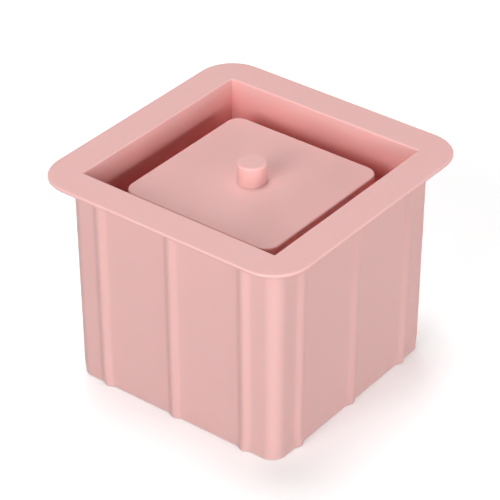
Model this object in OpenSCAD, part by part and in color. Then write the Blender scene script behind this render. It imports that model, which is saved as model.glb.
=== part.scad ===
// Casting mould for a square pot, in soft silicone rubber.
// The gap between the outer mould and the core casts the pot's walls, the space above the core casts
// its floor, and the peg leaves its drain hole. The pot is cast upside down.
// Origin at the centre of the base, +Z up, millimetres.

/* [Outer mould] */
// Height from the base to the top of the rim
mould_h = 100.8; // [80:0.2:130]
// Width of the square casting space at the rim
cast_w = 99.4; // [96:0.2:102]
// Corner radius of the casting space
cast_r = 0.6; // [0.4:0.1:3]
// Thickness of the walls
wall_t = 4.6; // [4:0.1:6]
// Thickness of the floor
floor_t = 5; // [3:0.5:7]
// Corner radius of the walls outside
wall_r = 6.7; // [5:0.1:8]
// How much narrower the mould is at its base than at its rim
draft = 1.9; // [0.5:0.1:4]
// Chamfer round the mouth of the casting space
mouth_chamfer = 0.5; // [0.3:0.1:1]

/* [Rim flange] */
// Width of the square rim flange
rim_w = 130; // [124:1:150]
// Corner radius of the rim flange
rim_r = 17; // [12:0.5:22]
// Thickness of the rim flange, which has a fully round edge
rim_t = 1.6; // [1.4:0.1:3]

/* [Ribs] */
// Number of ribs on each wall
rib_count = 3; // [1:1:3]
// Distance between the centres of neighbouring ribs
rib_pitch = 37.5; // [30:0.5:40]
// Width of a rib where it meets the wall
rib_w = 8; // [5:0.1:10]
// How far a rib stands out from the wall
rib_h = 1.4; // [0.5:0.1:2]

/* [Core] */
// Width of the core at its top
core_w = 77; // [72:0.2:80]
// How much wider the core is at its foot than at its top
core_draft = 2.2; // [0.6:0.1:4]
// Corner radius of the core
core_r = 6.4; // [5:0.1:9]
// Thickness of the core's side walls
core_t = 4; // [3:0.1:4.5]
// Thickness of the core's top
deck_t = 5; // [3:0.5:7]
// Rounding of the core's top edges
core_edge_r = 0.7; // [0.6:0.1:2]
// Depth of the core's top below the rim, which is the thickness of the pot's floor
pot_floor = 9.2; // [6:0.1:14]

/* [Locating boss] */
// Height of the boss that the core drops over
boss_h = 8; // [6:0.5:12]
// Clearance between the boss and the inside of the core
boss_gap = 0.3; // [0.2:0.05:0.6]

/* [Drain peg] */
// Radius of the peg's head at its foot
peg_r = 6.8; // [6.5:0.1:9]
// Radius of the peg's head at its top
peg_top_r = 6.4; // [5:0.1:6.5]
// Rounding of the peg's top edge
peg_edge_r = 1; // [0.4:0.1:1.5]
// Radius of the stem that seats in the core
stem_r = 4; // [3:0.1:4.5]
// Length of the stem
stem_l = 10; // [6:0.5:14]
// Radial clearance between the stem and its socket
stem_gap = 0.05; // [0.02:0.01:0.1]

/* [Hidden] */
$fn = 96;
silicone_pink = [0.9, 0.72, 0.7];
sheet = 0.01;        // thickness of a section that a hull joins to the next
corner_fn = 32;      // facets of a section's round corners
rib_steps = 12;      // straight steps across a rib's curve
round_steps = 5;     // straight steps round a top edge
over = 1;            // how far a cut runs past a face

wall_w = cast_w + 2 * wall_t;               // outside width just under the rim
base_w = wall_w - draft;                    // outside width at the base
core_z = floor_t;                           // the core stands on the floor
deck_z = mould_h - pot_floor;               // top of the core
core_h = deck_z - core_z;
core_foot_w = core_w + core_draft;
hollow_r = core_r - core_t;                 // inside corner radius of the core
hollow_foot_w = core_foot_w - 2 * core_t;
hollow_top_w = core_w - 2 * core_t;
hollow_h = core_h - deck_t;
boss_z = floor_t + boss_h;                  // top of the boss
boss_w = hollow_w_at(boss_h) - 2 * boss_gap;
boss_foot_w = hollow_foot_w - 2 * boss_gap;
boss_r = hollow_r - boss_gap;
pocket_w = boss_w - 2 * floor_t;            // hollow under the boss, so that the floor is even
socket_r = stem_r + stem_gap;
socket_end = 0.5;                           // space left under the stem
socket_wall = 4;                            // rubber round and under the socket
socket_d = stem_l + socket_end;

// Inside width of the core at a height above its foot
function hollow_w_at(h) = hollow_foot_w - (hollow_foot_w - hollow_top_w) * h / hollow_h;

// Height of a rib's smooth curve at a fraction from -1 to 1 of its half width
function rib_curve(f) = rib_h * (1 + cos(180 * f)) / 2;

module rounded_square(w, r) {
    for (a = [0:90:270])
        rotate(a) translate([w / 2 - r, w / 2 - r]) circle(r, $fn = corner_fn);
    square([w, w - 2 * r], center = true);
    square([w - 2 * r, w], center = true);
}

module section(w, r, z) {
    translate([0, 0, z]) linear_extrude(sheet) rounded_square(w, r);
}

// A block with round corners that changes width evenly from z0 to z1
module tapered_block(w0, w1, r, z0, z1) {
    hull() {
        section(w0, r, z0);
        section(w1, r, z1 - sheet);
    }
}

// Half of the flange's cross-section, from a corner's centre to the round edge
module rim_profile() {
    square([rim_r - rim_t / 2, rim_t]);
    translate([rim_r - rim_t / 2, rim_t / 2]) circle(d = rim_t);
}

module rim_slab() {
    span = rim_w - 2 * rim_r;
    translate([-span / 2, -span / 2, 0]) cube([span, span, rim_t]);
    for (a = [0:90:270])
        rotate([0, 0, a]) translate([span / 2, span / 2, 0]) {
            rotate_extrude(angle = 90) rim_profile();
            rotate([90, 0, 0]) linear_extrude(span) rim_profile();
        }
}

module rib_section() {
    x0 = wall_w / 2;
    polygon([
        [x0 - over, -rib_w / 2],
        for (i = [-rib_steps:rib_steps]) [x0 + rib_curve(i / rib_steps), i / rib_steps * rib_w / 2],
        [x0 - over, rib_w / 2],
    ]);
}

// The walls' outline just under the rim, with the ribs
module wall_outline() {
    rounded_square(wall_w, wall_r);
    for (a = [0:90:270], i = [0:rib_count - 1])
        rotate(a) translate([0, (i - (rib_count - 1) / 2) * rib_pitch]) rib_section();
}

module walls() {
    h = mould_h - rim_t / 2;
    s = base_w / wall_w;
    linear_extrude(h, scale = 1 / s) scale(s) wall_outline();
}

module casting_space() {
    foot_w = cast_w - draft * (mould_h - floor_t) / mould_h;
    difference() {
        tapered_block(foot_w, cast_w, cast_r, floor_t, mould_h + sheet);
        tapered_block(boss_foot_w, boss_w, boss_r, floor_t - over, boss_z);
    }
    tapered_block(cast_w - 2 * over, cast_w + 2 * mouth_chamfer, cast_r,
        mould_h - mouth_chamfer - over, mould_h + sheet);
}

module outer_mould() {
    color(silicone_pink) difference() {
        union() {
            walls();
            translate([0, 0, mould_h - rim_t]) rim_slab();
        }
        casting_space();
        tapered_block(pocket_w, pocket_w, boss_r, -over, boss_h);
    }
}

module core_block() {
    hull() {
        section(core_foot_w, core_r, core_z);
        for (i = [0:round_steps - 1]) {
            a = 90 * i / (round_steps - 1);
            inset = core_edge_r * (1 - cos(a));
            section(core_w - 2 * inset, core_r - inset, deck_z - sheet - core_edge_r * (1 - sin(a)));
        }
    }
}

module core() {
    socket_out_r = socket_r + socket_wall;
    color(silicone_pink) difference() {
        union() {
            difference() {
                core_block();
                tapered_block(hollow_foot_w, hollow_top_w, hollow_r, core_z - sheet, deck_z - deck_t);
            }
            translate([0, 0, deck_z - socket_d - socket_wall])
                cylinder(r = socket_out_r, h = socket_d + socket_wall - deck_t / 2);
        }
        translate([0, 0, deck_z - socket_d]) cylinder(r = socket_r, h = socket_d + over);
    }
}

module drain_peg() {
    edge = [for (i = [0:round_steps]) let (a = 90 * i / round_steps)
        [peg_top_r - peg_edge_r * (1 - cos(a)), pot_floor - peg_edge_r * (1 - sin(a))]];
    color(silicone_pink) translate([0, 0, deck_z]) {
        rotate_extrude() polygon(concat([[0, 0], [peg_r, 0]], edge, [[0, pot_floor]]));
        translate([0, 0, -stem_l]) cylinder(r = stem_r, h = stem_l + over);
    }
}

outer_mould();
core();
drain_peg();
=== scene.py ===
"""A square silicone casting mould: the outer mould, the core that stands in it, and the drain peg."""
import math

import bmesh
import bpy
from mathutils import Matrix, Vector


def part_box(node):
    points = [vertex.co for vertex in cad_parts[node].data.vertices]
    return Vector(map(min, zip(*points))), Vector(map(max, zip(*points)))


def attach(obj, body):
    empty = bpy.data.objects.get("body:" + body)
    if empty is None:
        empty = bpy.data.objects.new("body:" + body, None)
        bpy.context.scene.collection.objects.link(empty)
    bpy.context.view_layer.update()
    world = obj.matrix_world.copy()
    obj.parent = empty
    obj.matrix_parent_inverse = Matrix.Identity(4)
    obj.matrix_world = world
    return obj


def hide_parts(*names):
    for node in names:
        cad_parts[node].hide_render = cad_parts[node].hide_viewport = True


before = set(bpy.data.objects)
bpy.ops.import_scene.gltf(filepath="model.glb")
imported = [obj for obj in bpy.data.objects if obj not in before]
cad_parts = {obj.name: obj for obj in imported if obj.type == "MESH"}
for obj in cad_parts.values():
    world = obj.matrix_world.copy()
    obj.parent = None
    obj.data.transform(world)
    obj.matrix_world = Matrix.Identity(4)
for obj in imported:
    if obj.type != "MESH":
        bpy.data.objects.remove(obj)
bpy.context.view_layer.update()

MM = 0.001

# ---------------------------------------------------------------- sizes, from the frame and in metres
mould_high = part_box("outer_mould")[1]
core_low, core_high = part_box("core")
peg_low, peg_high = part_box("drain_peg")

RIM_HALF = mould_high.x
MOULD_H = mould_high.z
RIM_T = 1.6 * MM
RIM_UNDER = MOULD_H - RIM_T
RIM_R = 17 * MM
WALL_T = 4.6 * MM
DRAFT = 0.95 * MM                         # how far each wall leans in from the rim to the base
FLOOR_T = core_low.z
CAST_HALF = 49.7 * MM                     # half width of the casting space at the rim
CAST_FOOT_HALF = CAST_HALF - DRAFT * (MOULD_H - FLOOR_T) / MOULD_H
CAST_R = 0.5 * MM
MOUTH_R = 0.5 * MM                        # rounding round the mouth of the casting space
WALL_HALF = CAST_HALF + WALL_T            # half width of the walls outside, under the rim
WALL_R = 6.7 * MM
BASE_HALF = WALL_HALF - DRAFT
RIB_PLACES = (-37.5 * MM, 0, 37.5 * MM)
RIB_HALF = 4 * MM
RIB_H = 1.4 * MM

CORE_FOOT_HALF = core_high.x
CORE_HALF = 38.5 * MM
CORE_R = 6.4 * MM
CORE_T = 4 * MM
CORE_EDGE_R = 0.7 * MM
CORE_TOP = core_high.z
DECK_T = 5 * MM
HOLLOW_FOOT_HALF = CORE_FOOT_HALF - CORE_T
HOLLOW_R = CORE_R - CORE_T
SOCKET_R = 4.05 * MM
SOCKET_WALL = 4 * MM
SOCKET_BOTTOM = peg_low.z - 0.5 * MM

BOSS_H = 8 * MM
BOSS_GAP = 0.3 * MM                       # clearance between the locating boss and the core's hollow
BOSS_FOOT_HALF = HOLLOW_FOOT_HALF - BOSS_GAP
BOSS_HALF = BOSS_FOOT_HALF - 0.1 * MM     # at its top
BOSS_R = HOLLOW_R - BOSS_GAP

PEG_R = peg_high.x
PEG_TOP_R = 6.4 * MM
PEG_FLARE = 0.35 * MM                     # rounding between the head's side and its foot
STEM_R = 4 * MM

PAINTED_SHADE_ATTRIBUTE = "painted_gap_shade"                   # the mesh attribute for painted shade: a deeper, redder pink in the narrow casting space
PAINTED_SHADE_FADE = 14 * MM                        # depth under the rim where the painted shade has its full strength
CORE_PAINTED_SHADE = 0.35                         # the painted shade's strength on the core's sides

# ---------------------------------------------------------------- loops of points that a skin joins
CORNER_STEPS = 14
RIB_STEPS = 16
BETWEEN_STEPS = 6
END_STEPS = 4
CIRCLE_STEPS = 96
SIDE_STRAIGHT = WALL_HALF - WALL_R        # half the straight part of a wall, which the side's steps divide
LEAST_CORNER = 0.2 * MM
MOST_CORNER = 0.9                         # a corner's largest radius, as a share of the loop's half width

# Most flat faces have a loop close to their rounded edges, at HOLD or at a function's own hold, which keeps
# them shaded flat up to the edge. Their other loops, such as the one at SPREAD, only share out the width.
HOLD = 0.5 * MM
SPREAD = 3 * MM
MIDDLE = 4 * MM                           # half width of the smallest loop of a flat square face
ROUND_MIDDLE = 1 * MM                     # radius of the smallest loop of a flat round face
TURN_HALF, TURN_R = 20 * MM, 16 * MM      # the loop at which the core's deck turns from round to square


def side_steps():
    """Places of a side's points, from -1 to just under 1 of its straight part, closer together on ribs."""
    stops, at = [], -SIDE_STRAIGHT
    for place in RIB_PLACES:
        gap_steps = END_STEPS if at == -SIDE_STRAIGHT else BETWEEN_STEPS
        start = place - RIB_HALF
        stops += [at + (start - at) * i / gap_steps for i in range(gap_steps)]
        stops += [start + 2 * RIB_HALF * i / RIB_STEPS for i in range(RIB_STEPS)]
        at = place + RIB_HALF
    stops += [at + (SIDE_STRAIGHT - at) * i / END_STEPS for i in range(END_STEPS)]
    return [s / SIDE_STRAIGHT for s in stops]


SIDE_STEPS = side_steps()


def rib_rise(along):
    """How far the ribs stand out at a place along a wall."""
    for place in RIB_PLACES:
        if abs(along - place) < RIB_HALF:
            return RIB_H * (1 + math.cos(math.pi * (along - place) / RIB_HALF)) / 2
    return 0.0


def square_loop(half, corner, z, ribs=0.0):
    """Points round a square with round corners, with the ribs standing out by a share of their height."""
    straight = half - corner
    points = []
    for side in range(4):
        turned = Matrix.Rotation(side * math.pi / 2, 3, "Z")
        for step in SIDE_STEPS:
            out = half + ribs * rib_rise(step * SIDE_STRAIGHT)
            points.append(turned @ Vector((out, step * straight, z)))
        for i in range(CORNER_STEPS):
            a = math.pi / 2 * i / CORNER_STEPS
            x, y = straight + corner * math.cos(a), straight + corner * math.sin(a)
            points.append(turned @ Vector((x, y, z)))
    return points


def square_loops(outline, half_ref, corner_ref, ribs=0.0):
    """Square loops through (half width, height) points, their corners concentric with a known corner."""
    loops = []
    for half, z in outline:
        corner = max(corner_ref + half - half_ref, LEAST_CORNER)
        loops.append(square_loop(half, min(corner, half * MOST_CORNER), z, ribs))
    return loops


def round_loops(outline, like=None):
    """Round loops through (radius, height) points, evenly spaced or at another loop's angles."""
    if like:
        angles = [math.atan2(p.y, p.x) for p in like]
    else:
        angles = [2 * math.pi * i / CIRCLE_STEPS for i in range(CIRCLE_STEPS)]
    turns = [(math.cos(a), math.sin(a)) for a in angles]
    return [[Vector((radius * c, radius * s, z)) for c, s in turns] for radius, z in outline]


def quarter(start, end, first, steps=6):
    """A quarter of an ellipse between two (half width, height) points, leaving start along "u" or "z"."""
    points = []
    for i in range(steps + 1):
        s, c = math.sin(math.pi / 2 * i / steps), math.cos(math.pi / 2 * i / steps)
        fu, fz = (s, 1 - c) if first == "u" else (1 - c, s)
        points.append((start[0] + (end[0] - start[0]) * fu, start[1] + (end[1] - start[1]) * fz))
    return points


def between(start, end, steps):
    """Points inside a straight stretch, without its ends."""
    return [tuple(s + (e - s) * i / steps for s, e in zip(start, end)) for i in range(1, steps)]


def skin(name, loops):
    """A closed mesh through the loops, flat across the first and the last."""
    mesh = bpy.data.meshes.new(name)
    bm = bmesh.new()
    rings = [[bm.verts.new(p) for p in loop] for loop in loops]
    for low, high in zip(rings, rings[1:]):
        for i in range(len(low)):
            j = (i + 1) % len(low)
            bm.faces.new((low[i], low[j], high[j], high[i]))
    for ring in (rings[0], rings[-1]):
        centre = bm.verts.new(sum((v.co for v in ring), Vector()) / len(ring))
        for i in range(len(ring)):
            bm.faces.new((ring[i], ring[(i + 1) % len(ring)], centre))
    bmesh.ops.recalc_face_normals(bm, faces=bm.faces)
    for face in bm.faces:
        face.smooth = True
    bm.to_mesh(mesh)
    bm.free()
    piece = bpy.data.objects.new(name, mesh)
    bpy.context.scene.collection.objects.link(piece)
    return piece


def paint_gap_shade(piece, faces_gap, top, fade, most):
    """Paint shade on each point that faces the narrow casting space: a share of a deeper, redder pink.

    The share grows from 0 at the top to most at a depth of fade. The painted shade stands in for light that
    bounces in the space more often than a render follows, each bounce taking out more green and blue than
    red.
    """
    shares = piece.data.attributes.new(PAINTED_SHADE_ATTRIBUTE, "FLOAT", "POINT")
    for vertex, share in zip(piece.data.vertices, shares.data):
        depth = (top - vertex.co.z) / fade
        share.value = most * min(max(depth, 0.0), 1.0) if faces_gap(vertex.co) else 0.0


# ---------------------------------------------------------------- outer mould
def wall_half(z):
    """Half width of the walls outside, at a height."""
    return BASE_HALF + DRAFT * z / MOULD_H


def underside():
    """The pocket's ceiling and sides, and the flat base round it."""
    half, edge, hold, ceiling = BOSS_HALF - FLOOR_T, 1.0 * MM, 0.8 * MM, BOSS_H
    pocket = [(MIDDLE, ceiling), (16 * MM, ceiling), (half - SPREAD, ceiling)]
    pocket += quarter((half - edge, ceiling), (half, ceiling - edge), "u")
    pocket += between((half, ceiling - edge), (half, edge), steps=4)
    pocket += quarter((half, edge), (half + edge, 0), "z")
    base = [(half + edge + hold, 0), (BASE_HALF - 8 * MM, 0), (BASE_HALF - SPREAD, 0)]
    return square_loops(pocket, half, BOSS_R + edge) + square_loops(base, BASE_HALF, WALL_R)


def outside():
    """The rounded foot, the ribbed wall and the fillet under the flange."""
    foot_r, hold, fillet = 0.5 * MM, 0.6 * MM, 1.4 * MM
    top = RIM_UNDER - fillet
    foot = [(BASE_HALF - foot_r - hold, 0)]
    foot += quarter((BASE_HALF - foot_r, 0), (wall_half(foot_r), foot_r), "u")
    wall = between((wall_half(foot_r), foot_r), (wall_half(top), top), steps=16)
    wall += quarter((wall_half(top), top), (wall_half(top) + fillet, RIM_UNDER), "z")
    return square_loops(foot, BASE_HALF, WALL_R, ribs=1) + square_loops(wall, WALL_HALF, WALL_R, ribs=1)


def flange():
    """The flange's underside, its fully round edge and the outer part of its top."""
    ribs_end = 3.2 * MM                   # from this far out, the underside's loops leave the ribs out
    edge_r = RIM_T / 2
    lip, middle = RIM_HALF - edge_r, RIM_UNDER + edge_r
    outline = [(lip - SPREAD, RIM_UNDER), (lip - HOLD, RIM_UNDER)]
    outline += quarter((lip, RIM_UNDER), (RIM_HALF, middle), "u")
    outline += quarter((RIM_HALF, middle), (lip, MOULD_H), "z")[1:]
    outline += [(lip - HOLD, MOULD_H), (lip - SPREAD, MOULD_H)]
    inner = square_loops([(WALL_HALF + ribs_end, RIM_UNDER)], WALL_HALF, WALL_R)
    return inner + square_loops(outline, RIM_HALF, RIM_R)


def casting_space():
    """The inner part of the flange's top, and the space's rounded mouth, walls and floor."""
    fillet, hold = 1.5 * MM, 0.6 * MM
    mouth_half, mouth_z = CAST_HALF + MOUTH_R, MOULD_H - MOUTH_R
    wall_top, wall_foot = (CAST_HALF, mouth_z - HOLD), (CAST_FOOT_HALF, FLOOR_T + fillet)
    walls = [(mouth_half + SPREAD, MOULD_H), (mouth_half + HOLD, MOULD_H)]
    walls += quarter((mouth_half, MOULD_H), (CAST_HALF, mouth_z), "u")
    walls += [wall_top] + between(wall_top, wall_foot, steps=12)
    floor = quarter(wall_foot, (CAST_FOOT_HALF - fillet, FLOOR_T), "z")
    floor += [(CAST_FOOT_HALF - fillet - hold, FLOOR_T), (HOLLOW_FOOT_HALF + 5 * MM, FLOOR_T)]
    return square_loops(walls, CAST_HALF, CAST_R) + square_loops(floor, CAST_FOOT_HALF, CAST_R)


def boss():
    """The locating boss that the core drops over."""
    top, edge = FLOOR_T + BOSS_H, 1.0 * MM
    foot = [(BOSS_FOOT_HALF + 1 * MM, FLOOR_T), (BOSS_FOOT_HALF, FLOOR_T)]
    foot += [(BOSS_FOOT_HALF, FLOOR_T + 0.3 * MM), (BOSS_HALF, top - edge - HOLD)]
    head = quarter((BOSS_HALF, top - edge), (BOSS_HALF - edge, top), "z")
    head += [(BOSS_HALF - 2 * MM, top), (18 * MM, top), (MIDDLE, top)]
    return square_loops(foot, BOSS_FOOT_HALF, BOSS_R) + square_loops(head, BOSS_HALF, BOSS_R)


def build_outer_mould():
    """One closed skin, from the middle of the underside, over the flange and down to the boss."""
    slack = 0.1 * MM                      # keeps the points on the space's floor in

    def faces_gap(point):
        return max(abs(point.x), abs(point.y)) < CAST_HALF + MOUTH_R and point.z > FLOOR_T - slack

    piece = skin("outer_mould_skin", underside() + outside() + flange() + casting_space() + boss())
    # painted shade: a deeper, redder pink on the casting space's faces, growing with depth under the rim
    paint_gap_shade(piece, faces_gap, MOULD_H, PAINTED_SHADE_FADE, 1.0)
    return piece


# ---------------------------------------------------------------- core
def core_socket(like):
    """The socket for the peg's stem and the round middle of the deck."""
    mouth_r, hold = 0.3 * MM, 0.4 * MM
    outline = [(ROUND_MIDDLE, SOCKET_BOTTOM), (SOCKET_R - hold, SOCKET_BOTTOM), (SOCKET_R, SOCKET_BOTTOM)]
    outline += [(SOCKET_R, SOCKET_BOTTOM + hold), (SOCKET_R, CORE_TOP - mouth_r - hold)]
    outline += quarter((SOCKET_R, CORE_TOP - mouth_r), (SOCKET_R + mouth_r, CORE_TOP), "z", steps=4)
    outline += [(SOCKET_R + mouth_r + HOLD, CORE_TOP), (8 * MM, CORE_TOP)]
    return round_loops(outline, like)


def core_outside():
    """The square part of the deck, its rounded edge, and the sides down to the foot."""
    foot_r, hold = 0.5 * MM, 0.8 * MM
    deck_half, foot = CORE_HALF - CORE_EDGE_R, core_low.z
    side_top, side_foot = (CORE_HALF, CORE_TOP - CORE_EDGE_R - hold), (CORE_FOOT_HALF, foot + foot_r)
    side = [(deck_half - SPREAD, CORE_TOP), (deck_half - HOLD, CORE_TOP)]
    side += quarter((deck_half, CORE_TOP), (CORE_HALF, CORE_TOP - CORE_EDGE_R), "u", steps=8)
    side += [side_top] + between(side_top, side_foot, steps=14)
    bottom = quarter(side_foot, (CORE_FOOT_HALF - foot_r, foot), "z", steps=4)
    loops = square_loops([(TURN_HALF, CORE_TOP)], TURN_HALF, TURN_R)
    return loops + square_loops(side, CORE_HALF, CORE_R) + square_loops(bottom, CORE_FOOT_HALF, CORE_R)


def core_hollow():
    """The foot's flat ring, the hollow's sides and the square part of the deck's underside."""
    foot_r, foot_hold, fillet, hold = 0.5 * MM, 0.7 * MM, 1.5 * MM, 0.6 * MM
    foot, ceiling, half = core_low.z, CORE_TOP - DECK_T, CORE_HALF - CORE_T
    side_foot, side_top = (HOLLOW_FOOT_HALF, foot + foot_r), (half, ceiling - fillet)
    ring = foot_r + foot_hold
    rim = [(CORE_FOOT_HALF - ring, foot), (HOLLOW_FOOT_HALF + ring, foot)]
    rim += quarter((HOLLOW_FOOT_HALF + foot_r, foot), side_foot, "u", steps=4)
    side = between(side_foot, side_top, steps=12)
    side += quarter(side_top, (half - fillet, ceiling), "z")
    side += [(half - fillet - hold, ceiling)]
    loops = square_loops(rim, HOLLOW_FOOT_HALF, HOLLOW_R) + square_loops(side, half, HOLLOW_R)
    return loops + square_loops([(TURN_HALF, ceiling)], TURN_HALF, TURN_R)


def core_socket_wall(like):
    """The round middle of the deck's underside, and the rubber round and under the socket."""
    fillet, edge, hold = 1.5 * MM, 1 * MM, 0.6 * MM
    radius, ceiling, under = SOCKET_R + SOCKET_WALL, CORE_TOP - DECK_T, SOCKET_BOTTOM - SOCKET_WALL
    outline = [(radius + fillet + 1 * MM, ceiling)]
    outline += quarter((radius + fillet, ceiling), (radius, ceiling - fillet), "u")
    outline += [(radius, under + edge + hold)]
    outline += quarter((radius, under + edge), (radius - edge, under), "z")
    outline += [(radius - edge - hold, under), (ROUND_MIDDLE, under)]
    return round_loops(outline, like)


def build_core():
    """One closed skin, from the socket's bottom, over the deck, down the sides and up the hollow."""
    def faces_gap(point):
        return max(abs(point.x), abs(point.y)) > CORE_HALF - CORE_EDGE_R

    like = square_loop(CORE_HALF, CORE_R, 0)      # the round loops have as many points, at its angles
    loops = core_socket(like) + core_outside() + core_hollow() + core_socket_wall(like)
    piece = skin("core_skin", loops)
    # painted shade: a deeper, redder pink on the core's sides that face the gap
    paint_gap_shade(piece, faces_gap, CORE_TOP - CORE_EDGE_R / 2, CORE_EDGE_R, CORE_PAINTED_SHADE)
    return piece


# ---------------------------------------------------------------- drain peg
def build_drain_peg():
    """A tapered head with a rounded top edge and a flared foot, and the stem that seats in the core."""
    edge, hold, tip_r = 1.0 * MM, 0.3 * MM, 0.6 * MM
    top, foot, tip = peg_high.z, CORE_TOP, peg_low.z
    deck_r = PEG_TOP_R - edge
    outline = [(ROUND_MIDDLE, top), (deck_r - 1 * MM, top), (deck_r - hold, top)]
    outline += quarter((deck_r, top), (PEG_TOP_R, top - edge), "u", steps=8)
    outline += between((PEG_TOP_R, top - edge), (PEG_R - PEG_FLARE, foot + PEG_FLARE), steps=6)
    outline += quarter((PEG_R - PEG_FLARE, foot + PEG_FLARE), (PEG_R, foot), "z")
    outline += [(PEG_R - hold, foot), (STEM_R + hold, foot), (STEM_R, foot)]
    outline += [(STEM_R, foot - hold), (STEM_R, tip + 1 * MM)]
    outline += quarter((STEM_R, tip + tip_r), (STEM_R - tip_r, tip), "z", steps=4)
    outline += [(STEM_R - 1 * MM, tip), (ROUND_MIDDLE, tip)]
    return skin("drain_peg_skin", round_loops(outline))


# ---------------------------------------------------------------- silicone
def silicone():
    """Soft pink silicone rubber: light sinks in and comes out redder, and the skin is fine and satin."""
    material = bpy.data.materials.new("silicone")
    material.use_nodes = True
    tree = material.node_tree
    nodes, links = tree.nodes, tree.links
    shader = nodes["Principled BSDF"]
    shader.inputs["Roughness"].default_value = 0.5
    shader.inputs["Specular IOR Level"].default_value = 0.35
    shader.inputs["Subsurface Weight"].default_value = 0.25
    shader.inputs["Subsurface Radius"].default_value = (1.0, 0.35, 0.3)
    shader.inputs["Subsurface Scale"].default_value = 1 * MM

    place = nodes.new("ShaderNodeTexCoord")
    mottle = nodes.new("ShaderNodeTexNoise")
    mottle.inputs["Scale"].default_value = 45
    mottle.inputs["Detail"].default_value = 3
    links.new(place.outputs["Object"], mottle.inputs["Vector"])
    tint = nodes.new("ShaderNodeMix")
    tint.data_type = "RGBA"
    tint.inputs["A"].default_value = (0.925, 0.548, 0.525, 1)
    tint.inputs["B"].default_value = (0.935, 0.557, 0.534, 1)
    links.new(mottle.outputs["Fac"], tint.inputs["Factor"])
    # painted shade: where the attribute marks the narrow gap, the pink is multiplied by a deeper red
    painted_gap_shade = nodes.new("ShaderNodeAttribute")
    painted_gap_shade.attribute_name = PAINTED_SHADE_ATTRIBUTE
    painted_shade_mix = nodes.new("ShaderNodeMix")
    painted_shade_mix.data_type = "RGBA"
    painted_shade_mix.blend_type = "MULTIPLY"
    painted_shade_mix.inputs["B"].default_value = (1.0, 0.71, 0.70, 1)
    links.new(painted_gap_shade.outputs["Fac"], painted_shade_mix.inputs["Factor"])
    links.new(tint.outputs["Result"], painted_shade_mix.inputs["A"])
    links.new(painted_shade_mix.outputs["Result"], shader.inputs["Base Color"])

    grain = nodes.new("ShaderNodeTexNoise")
    grain.inputs["Scale"].default_value = 2600
    grain.inputs["Detail"].default_value = 2
    links.new(place.outputs["Object"], grain.inputs["Vector"])
    bump = nodes.new("ShaderNodeBump")
    bump.inputs["Strength"].default_value = 0.08
    bump.inputs["Distance"].default_value = 0.03 * MM
    links.new(grain.outputs["Fac"], bump.inputs["Height"])
    links.new(bump.outputs["Normal"], shader.inputs["Normal"])
    return material


# ---------------------------------------------------------------- stage, light and camera
FLOOR_HALF = 6
FLOOR_DROP = 0.05 * MM                    # keeps the floor just clear of the mould's base
LIGHT_AIM = Vector((0, 0, 0.08))
LIGHT_AWAY = 2.0
LIGHT_WIDTH = 1.0
LIGHTS = (                                # name, azimuth and elevation in degrees, watts
    ("top", -120, 80, 22.2),
    ("front", 0, 5, 8.8),
    ("front_mid", 0, 17, 8.5),
    ("front_high", 0, 30, 11.6),
    ("front_right", 60, 5, 16.0),
    ("right", 90, 5, 16.2),
    ("back_right", 150, 5, 5.2),
)
FILL_LIGHT = ("back_left", -135, 3, 30)


def floor_white():
    """A white that glows more with distance, so that the floor fades into the white surround."""
    material = bpy.data.materials.new("floor_white")
    material.use_nodes = True
    nodes, links = material.node_tree.nodes, material.node_tree.links
    shader = nodes["Principled BSDF"]
    shader.inputs["Base Color"].default_value = (0.97, 0.97, 0.97, 1)
    shader.inputs["Roughness"].default_value = 0.9
    shader.inputs["Emission Color"].default_value = (1, 1, 1, 1)
    place = nodes.new("ShaderNodeTexCoord")
    away = nodes.new("ShaderNodeVectorMath")
    away.operation = "LENGTH"
    glow = nodes.new("ShaderNodeMapRange")
    glow.inputs["From Min"].default_value = 0.2
    glow.inputs["From Max"].default_value = 1.2
    glow.inputs["To Min"].default_value = 0.3
    glow.inputs["To Max"].default_value = 1.0
    links.new(place.outputs["Object"], away.inputs[0])
    links.new(away.outputs["Value"], glow.inputs["Value"])
    links.new(glow.outputs["Result"], shader.inputs["Emission Strength"])
    return material


def build_floor():
    """A wide plain floor."""
    bm = bmesh.new()
    bmesh.ops.create_grid(bm, x_segments=8, y_segments=8, size=FLOOR_HALF)
    mesh = bpy.data.meshes.new("floor")
    bm.to_mesh(mesh)
    bm.free()
    mesh.materials.append(floor_white())
    floor = bpy.data.objects.new("floor", mesh)
    floor.location.z = -FLOOR_DROP
    floor.visible_diffuse = False         # it stays white without lighting the mould from below
    bpy.context.scene.collection.objects.link(floor)


def direction(azimuth, elevation):
    """A unit vector from the mould towards a place: azimuth 0 is straight in front, 90 is to the right."""
    a, e = math.radians(azimuth), math.radians(elevation)
    return Vector((math.sin(a) * math.cos(e), -math.cos(a) * math.cos(e), math.sin(e)))


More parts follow.
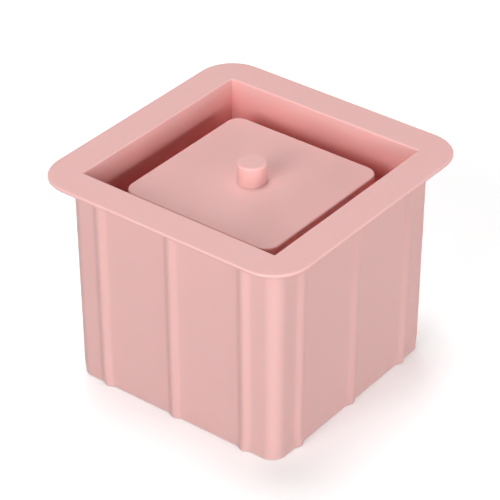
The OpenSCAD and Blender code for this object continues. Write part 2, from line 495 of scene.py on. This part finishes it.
def soft_light(name, azimuth, elevation, watts):
    """A wide disk that faces the mould."""
    data = bpy.data.lights.new(name, "AREA")
    data.shape = "DISK"
    data.size = LIGHT_WIDTH
    data.energy = watts
    light = bpy.data.objects.new(name, data)
    away = direction(azimuth, elevation)
    light.location = LIGHT_AIM + LIGHT_AWAY * away
    light.rotation_mode = "QUATERNION"
    light.rotation_quaternion = (-away).to_track_quat("-Z", "Y")
    bpy.context.scene.collection.objects.link(light)
    return light


def build_lights():
    """The lights above, in front and on the right, and a fill for the two far walls."""
    for light in LIGHTS:
        soft_light(*light)
    fill = soft_light(*FILL_LIGHT)
    fill.visible_glossy = False           # it puts no gloss on the rim


def build_backdrop():
    """A white surround that the camera sees and that lights nothing."""
    world = bpy.data.worlds.new("studio")
    world.use_nodes = True
    world.node_tree.nodes["Background"].inputs["Color"].default_value = (1, 1, 1, 1)
    bpy.context.scene.world = world
    seen = world.cycles_visibility
    seen.diffuse = seen.glossy = seen.transmission = seen.scatter = False


def build_camera():
    """A long lens that looks down on the corner between the front wall and the right one."""
    azimuth, elevation, roll = 37.8, 33.7, -0.06          # degrees
    distance, target = 0.981, Vector((0.01077, -0.01528, 0.0691))
    data = bpy.data.cameras.new("camera")
    data.lens = 169.7
    data.sensor_width = 36
    data.clip_end = 50
    camera = bpy.data.objects.new("camera", data)
    back = direction(azimuth, elevation)
    camera.location = target + back * distance
    camera.rotation_mode = "QUATERNION"
    turn = Matrix.Rotation(math.radians(roll), 3, "Z").to_quaternion()
    camera.rotation_quaternion = (-back).to_track_quat("-Z", "Y") @ turn
    bpy.context.scene.collection.objects.link(camera)
    bpy.context.scene.camera = camera


# ---------------------------------------------------------------- the scene
BUILDS = {"outer_mould": build_outer_mould, "core": build_core, "drain_peg": build_drain_peg}
rubber = silicone()
for node, build in BUILDS.items():
    piece = build()
    piece.data.materials.append(rubber)
    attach(piece, node)
    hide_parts(node)

build_floor()
build_camera()
build_backdrop()
build_lights()
bpy.context.scene.view_settings.view_transform = "Standard"
